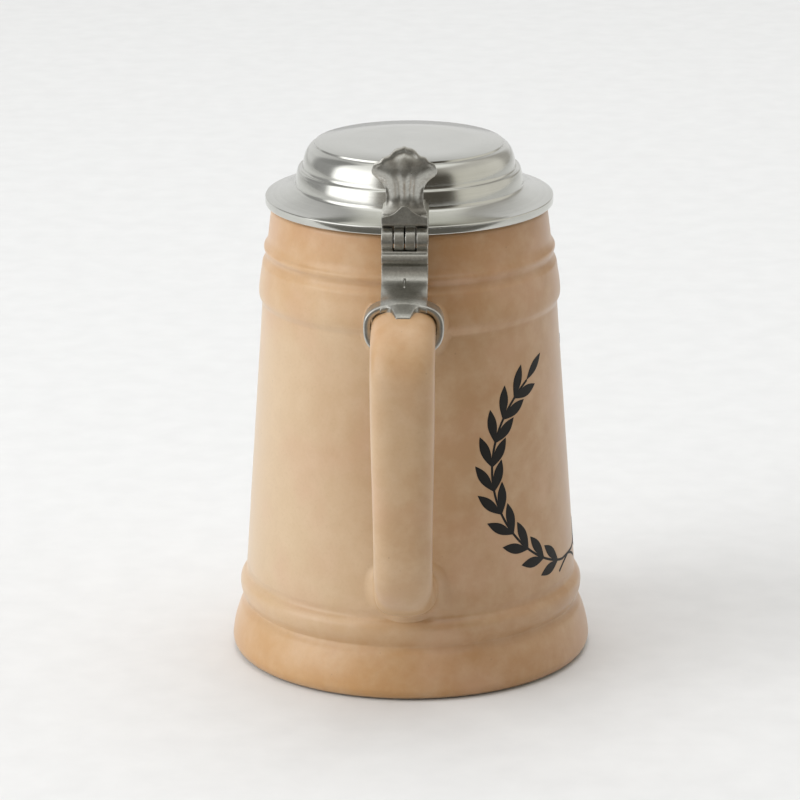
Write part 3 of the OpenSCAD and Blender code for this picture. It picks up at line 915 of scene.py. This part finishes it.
def plug(name, node, side):
    """A pewter plug pressed over the pin's end, its face slightly domed and rim rounded."""
    proud = 0.1
    face = hinge_w / 2 + proud
    depth = seat_depth + proud
    low, high = (face - depth, face) if side > 0 else (-face, depth - face)
    piece = rod(name, plug_r, low, high, 48)
    edit(piece)
    mesh = bmesh.from_edit_mesh(piece.data)
    for f in mesh.faces:
        if f.normal.x * side > 0.9:
            f.select_set(True)
    bmesh.update_edit_mesh(piece.data)
    bpy.ops.mesh.inset(thickness=0.3 * MM)
    bpy.ops.transform.translate(value=(side * 0.06 * MM, 0, 0))
    bpy.ops.mesh.inset(thickness=0.8 * MM)
    bpy.ops.transform.translate(value=(side * 0.05 * MM, 0, 0))
    done(piece)
    return finish(piece, CAST_PEWTER, "mug", [node])


# ---------------------------------------------------------------- shank and thumblift

def shank():
    """The shank soldered to the lid: an arm over the flange, a block with an ogee front, and the two
    inner knuckles."""
    top = pin_z + 8.4
    side = [(pin_d + 2.6, pin_z + 5.1), (pin_d + 2.8, pin_z + 6.4), (pin_d + 2.2, top), (pin_d - 1.6, top)]
    side += cubic((pin_d - 2.4, top - 0.4), (pin_d - 5, pin_z + 7.4), (40, pin_z + 7.2),
                  (step_r + 1, pin_z + 8.2), 8)
    side += [(step_r - 1.6, pin_z + 8.3), (step_r - 1.6, pin_z + 5), (lid_r - 3, pin_z + 2.4),
             (lid_r + 0.2, pin_z + 1.6), (lid_r + 0.5, pin_z + 0.4), (pin_d - 1.6, pin_z + 0.4),
             (pin_d + 0.4, pin_z + 2.2), (pin_d + 0.6, pin_z + 4.6), (pin_d + 1.4, pin_z + 5.1)]
    block = plate("block", side, -hinge_w / 2, hinge_w / 2)
    half = hinge_w / 2 - 0.15
    ogee = smooth_line([(half, pin_z + 7.1), (5.4, pin_z + 7.5), (3.2, pin_z + 8.5), (1.8, pin_z + 9.6),
                        (0.9, pin_z + 10.3), (0, pin_z + 10.5)], 5)
    mirrored = [(-x, z) for x, z in reversed(ogee[:-1])]
    front = [(half, pin_z + 5.1)] + ogee + mirrored + [(-half, pin_z + 5.1)]
    pediment = plate("pediment", front, pin_d + 0.8, pin_d + 3.15, True)
    half_gap = knuckle_gap / 2
    cut(block, rod("sweep_left", knuckle_r + swing_gap, -hinge_w, -inner_edge),
        rod("sweep_right", knuckle_r + swing_gap, inner_edge, hinge_w),
        rod("slot", knuckle_r + swing_gap, -half_gap, half_gap))
    knuckles = [rod("knuckle", knuckle_r, low, high)
                for low, high in ((-inner_edge, -half_gap), (half_gap, inner_edge))]
    piece = join("pewter_shank", block, pediment, *knuckles)
    cast(piece, casting_voxel, rounds=4)
    waist = 0.84
    for v in piece.data.vertices:
        v.co.x *= ease(1, waist, (v.co.z / MM - pin_z - 6.8) / 1.2)
    cut(piece, rod("bore", pin_r + 0.05, -hinge_w, hinge_w))
    return finish(piece, CAST_PEWTER, "lid", ["lid_shank"], angle=50)


def lift_edge():
    """The thumblift's upper edge from its middle to its side, as (u, across, up above the pin)."""
    return smooth_line([(0, 0, 27.7), (0.16, 1.7, 27.3), (0.3, 3.3, 26.3), (0.42, 4.9, 25.2),
                        (0.56, 6.6, 24.1), (0.7, 8.2, 22.9), (0.84, 9.25, 21.1), (0.93, 9.2, 19.8),
                        (1, 8.5, 18.7)], 6)


LIFT_EDGE = [(p[0], p[1]) for p in lift_edge()], [(p[0], p[2]) for p in lift_edge()]


def lift_lean():
    """How far the thumblift's front leans out from the pin, as (up above the pin, out)."""
    return smooth_line([(7.5, 3.15), (8.6, 2.75), (9.8, 2.25), (11.4, 2.05), (13, 2.3), (15, 3),
                        (17.2, 4), (19.2, 4.6), (21.2, 4.75), (23.2, 4.4), (25.2, 3.6), (28.5, 2)], 6)


LIFT_LEAN = [(p[0], p[1]) for p in lift_lean()]


def lift_point(u, v):
    """A point on the thumblift's front: u runs across from -1 to 1, v up from 0 to 1."""
    split = 0.3
    waist_z = 13.4
    if v < split:
        height = 7.9 + (waist_z - 7.9) * v / split
        half = between([(7.9, 6.45), (8.6, 6.3), (9.4, 5.85), (10.4, 5.5), (11.6, 5.3), (waist_z, 5.3)],
                       height)
        across = half * u
    else:
        t = (v - split) / (1 - split)
        side = abs(u)
        way = 1 if u > 0 else -1
        tip = Vector((between(LIFT_EDGE[0], side), between(LIFT_EDGE[1], side)))
        crest = max(0, 1 - (side / 0.34) ** 2)
        tip[1] += 0.1 * crest * cos(2 * pi * side / 0.21)
        away = (tip - Vector((0, 18))).normalized()
        tip += away * 0.2 * (1 - crest) * ease(1, 0, (side - 0.7) / 0.2) * cos(2 * pi * (side - 0.5) / 0.24)
        bend = Vector((5.35 * side, 16.6 + 3.4 * (1 - side)))
        spot = (1 - t) ** 2 * Vector((5.3 * side, waist_z)) + 2 * t * (1 - t) * bend + t * t * tip
        across, height = way * spot[0], spot[1]
    lean = between(LIFT_LEAN, height)
    roll = 0.9 + 1.5 * ease(0, 1, (v - 0.3) / 0.4)
    valley = (0.5 - 0.5 * cos(2 * pi * u / 0.55)) ** 1.5
    flute = 0.5 * valley * ease(0, 1, (v - 0.06) / 0.3) * (1 - 0.7 * ease(0, 1, (v - 0.5) / 0.3))
    middle = ease(1, 0, (abs(u) - 0.14) / 0.26)
    hollow = 0.4 * exp(-((v - 0.91) / 0.035) ** 2) * middle
    bead = 0.3 * exp(-((v - 0.97) / 0.03) ** 2) * ease(1, 0, (abs(u) - 0.6) / 0.35)
    depth = pin_d + lean - roll * abs(u) ** 2.3 - flute - hollow + bead
    return Vector((across, -depth, height + pin_z)) * MM


def thumblift():
    """The thumblift: a waisted stem that opens into a fluted scallop with a small crest."""
    deselect()
    bpy.ops.mesh.primitive_grid_add(x_subdivisions=140, y_subdivisions=120, size=2)
    piece = bpy.context.object
    piece.name = "pewter_thumblift"
    piece.data.name = "pewter_thumblift"
    bpy.ops.object.mode_set(mode="EDIT")
    mesh = bmesh.from_edit_mesh(piece.data)
    for v in mesh.verts:
        v.co = lift_point(v.co.x, (v.co.y + 1) / 2)
    bmesh.update_edit_mesh(piece.data)
    tidy_shell()
    done(piece)
    facing = sum(p.normal.y for p in piece.data.polygons)
    modify(piece, "SOLIDIFY", thickness=2.1 * MM, offset=1 if facing > 0 else -1)
    cast(piece, 0.13, rounds=3)
    return finish(piece, CAST_PEWTER, "lid", ["thumblift"], angle=60)


# ---------------------------------------------------------------- studio

def floor():
    """A wide sheet of pale paper."""
    deselect()
    bpy.ops.mesh.primitive_plane_add(size=16)
    piece = bpy.context.object
    piece.name = "studio_floor"
    piece.data.materials.append(studio_paper())


def room():
    """The room round the table, which polished metal mirrors: a pale backdrop behind, a tall bright
    diffuser on the left, a dim stretch behind the viewer and a paler wall on the right."""
    world = bpy.data.worlds.new("studio_room")
    bpy.context.scene.world = world
    world.use_nodes = True
    tree = world.node_tree
    tree.nodes.clear()
    way = add(tree, "ShaderNodeTexCoord").outputs["Generated"]
    split = add(tree, "ShaderNodeSeparateXYZ", {0: way})
    front = add(tree, "ShaderNodeMath", {0: split.outputs["Y"], 1: -1.0}, operation="MULTIPLY")
    turn = add(tree, "ShaderNodeMath", {0: split.outputs["X"], 1: front}, operation="ARCTAN2")
    share = add(tree, "ShaderNodeMapRange", {0: turn, 1: -pi, 2: pi, 3: 0, 4: 1})
    low = add(tree, "ShaderNodeValToRGB", {0: share},
              stops=[(0, "#A6A6A6"), (0.125, "#A6A6A6"), (0.15, "#747474"), (0.243, "#747474"),
                     (0.263, "#FAFAFA"), (0.386, "#FAFAFA"), (0.414, "#6B6863"), (0.522, "#67635E"),
                     (0.535, "#383530"), (0.63, "#383530"), (0.65, "#A09E97"), (0.84, "#A4A29D"),
                     (0.87, "#7E7C78"), (0.91, "#7E7C78"), (0.945, "#A6A6A6"), (1, "#A6A6A6")])
    high = add(tree, "ShaderNodeValToRGB", {0: share},
               stops=[(0, "#8A8A8A"), (0.13, "#8A8A8A"), (0.155, "#6A6A6A"), (0.245, "#6A6A6A"),
                      (0.265, "#C8C8C8"), (0.389, "#C8C8C8"), (0.43, "#85827C"), (0.6, "#726F6A"),
                      (0.68, "#94928E"), (0.84, "#94928E"), (0.9, "#7E7C78"), (1, "#8A8A8A")])
    lift = add(tree, "ShaderNodeMapRange", {0: split.outputs["Z"], 1: 0.35, 2: 0.75, 3: 0, 4: 1})
    walls = add(tree, "ShaderNodeMix", {0: lift, 6: low, 7: high}, data_type="RGBA")
    above = add(tree, "ShaderNodeMapRange", {0: split.outputs["Z"], 1: 0.8, 2: 0.93, 3: 0, 4: 1})
    colour = add(tree, "ShaderNodeMix", {0: above, 6: walls, 7: linear("#BEBEBC")}, data_type="RGBA")
    sky = add(tree, "ShaderNodeBackground", {"Color": colour, "Strength": 2.2})
    add(tree, "ShaderNodeOutputWorld", {"Surface": sky})


def table_edge():
    """A dark sheet beyond the near end of the table, seen only in the metal's mirror."""
    deselect()
    bpy.ops.mesh.primitive_plane_add(size=1)
    piece = bpy.context.object
    bpy.ops.object.mode_set(mode="EDIT")
    bpy.ops.mesh.select_all(action="SELECT")
    bpy.ops.transform.resize(value=(2.4, 2, 1))
    bpy.ops.transform.translate(value=(0, -1.22, 0.002))
    done(piece, "table_edge")
    material, tree = new_material("dark_cloth")
    place = add(tree, "ShaderNodeTexCoord").outputs["Object"]
    weave = add(tree, "ShaderNodeTexNoise", {"Vector": place, "Scale": per_metre(20)})
    colour = add(tree, "ShaderNodeValToRGB", {0: weave}, stops=[(0.3, "#56544F"), (0.7, "#605E59")])
    shader = add(tree, "ShaderNodeBsdfPrincipled", {"Base Color": colour, "Roughness": 0.9})
    piece.data.materials.append(surface(material, tree, shader))
    piece.visible_camera = False
    piece.visible_diffuse = False
    piece.visible_shadow = False
    piece.visible_transmission = False


def softbox(name, place, aim, wide, tall, power):
    lamp = bpy.data.lights.new(name, "AREA")
    lamp.shape = "RECTANGLE"
    lamp.size, lamp.size_y = wide, tall
    lamp.energy = power
    made = bpy.data.objects.new(name, lamp)
    bpy.context.scene.collection.objects.link(made)
    made.location = place
    made.rotation_euler = (Vector(aim) - Vector(place)).to_track_quat("-Z", "Y").to_euler()
    made.visible_glossy = False
    return made


def lights():
    """A large soft key from the left, a broad top light and one that lifts the paper at the back."""
    softbox("key", (-1.22, -0.4, 0.85), (0, 0, 0.08), 0.9, 0.9, 7.2)
    softbox("top", (0.1, 0.35, 1.5), (0, 0, 0.1), 1.2, 1.2, 7)
    softbox("back", (0, 1.5, 0.9), (0, 1.5, 0), 1.6, 0.8, 1.2)


def camera():
    """A long lens a little above the lid, looking at the handle."""
    reach, height = 1.15, 0.4168
    side = radians(1.6)
    dip = radians(16.5)
    roll = radians(-0.25)
    lens = bpy.data.cameras.new("camera")
    lens.sensor_width = 36
    lens.lens = 180
    made = bpy.data.objects.new("camera", lens)
    bpy.context.scene.collection.objects.link(made)
    pan = atan(0.002625)
    ahead = Matrix.Rotation(pan, 3, "Z") @ Vector((-sin(side), cos(side), 0))
    look = cos(dip) * ahead - sin(dip) * Z
    right = ahead.cross(Z).normalized()
    up = right.cross(look)
    across = cos(roll) * right + sin(roll) * up
    upward = cos(roll) * up - sin(roll) * right
    turn = Matrix((across, upward, -look)).transposed().to_4x4()
    made.matrix_world = Matrix.Translation((reach * sin(side), -reach * cos(side), height)) @ turn
    bpy.context.scene.camera = made


camera()
floor()
table_edge()
room()
lights()
bpy.context.scene.view_settings.view_transform = "Standard"

mug()
handle()
laurel()
lid()
collar()
strap()
pin()
plug("pewter_plug_left", "pin_plug_left", -1)
plug("pewter_plug_right", "pin_plug_right", 1)
shank()
thumblift()
